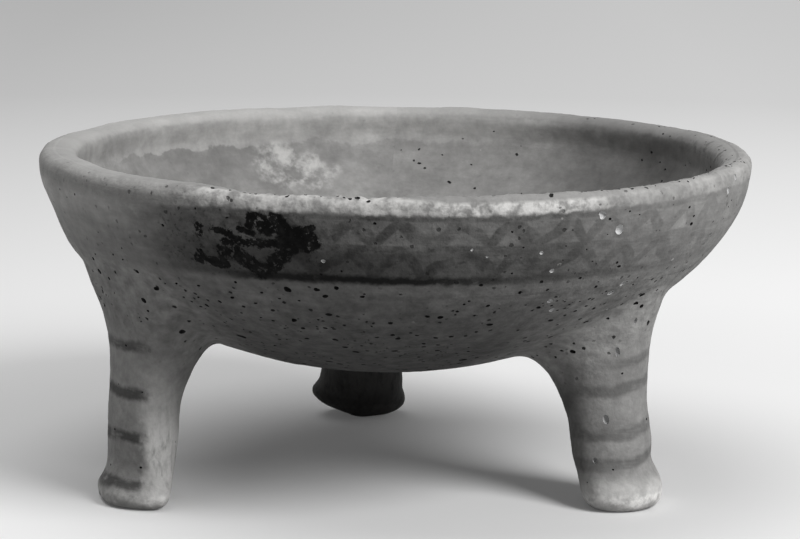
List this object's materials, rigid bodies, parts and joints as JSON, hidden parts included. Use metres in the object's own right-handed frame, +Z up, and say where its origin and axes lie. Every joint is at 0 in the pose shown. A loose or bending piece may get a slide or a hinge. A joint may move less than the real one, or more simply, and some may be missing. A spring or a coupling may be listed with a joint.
{
  "type": "tripod bowl",
  "caption": "Low round hand-built clay bowl with a thick rounded lip, painted triangle bands and a tripod of stout flared legs, for serving or holding food.",
  "frame": {"origin": "on the rim's axis at the table, below the middle of the lip", "axes": "+Z up through the mouth; -Y towards the side seen in the picture, between the left and right legs; +X to that view's right"},
  "size_m": [0.2, 0.2, 0.0934],
  "materials": {
    "base_clay": "matt, pitted",
    "painted_clay": "matt, worn dark paint",
    "rim_clay": "worn smooth",
    "leg_clay": "matt, slightly burnished",
    "luting_clay": "matt"
  },
  "bodies": {
    "root": {"bowl_base": "base_clay", "wall_coil": "painted_clay", "rim_coil": "rim_clay", "left_leg": "leg_clay", "right_leg": "leg_clay", "rear_leg": "leg_clay", "left_luting_coil": "luting_clay", "right_luting_coil": "luting_clay", "rear_luting_coil": "luting_clay"}
  },
  "joints": []
}
